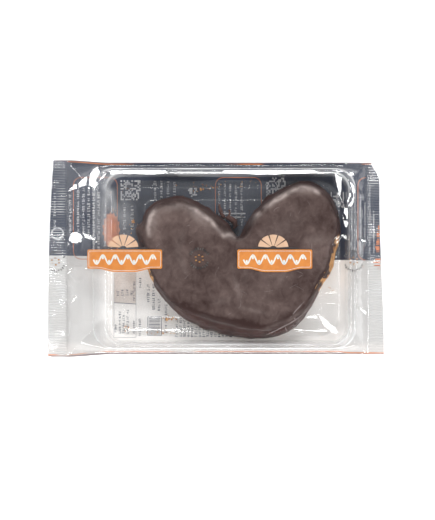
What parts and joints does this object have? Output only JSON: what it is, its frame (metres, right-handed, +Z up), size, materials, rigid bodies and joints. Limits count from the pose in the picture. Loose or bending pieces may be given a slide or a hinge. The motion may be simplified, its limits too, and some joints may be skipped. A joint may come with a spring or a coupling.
{
  "type": "packaged palmier pastry",
  "caption": "Heart-shaped palmier pastry coated in chocolate, lying in a clear moulded tray inside a clear flow pack with a printed back and crimped end seals.",
  "frame": {"origin": "middle of the pack's bounding box, on the surface it lies on", "axes": "+X along the pack, across both end seals; +Y across it, towards the edge beside the notch of the heart; +Z up, out of the clear face"},
  "size_m": [0.222, 0.13, 0.0218],
  "materials": {
    "clear_film": "clear glossy wrapping film over dark chocolate",
    "printed_film": "glossy film printed dark blue and off-white",
    "tray_plastic": "clear thin moulded plastic",
    "chocolate": "dull dark chocolate with a pale bloom",
    "pastry_crust": "baked flaky puff pastry",
    "print_ink": "flat printed ink"
  },
  "bodies": {
    "root": {"sealed_pack": "clear_film"}
  },
  "joints": []
}
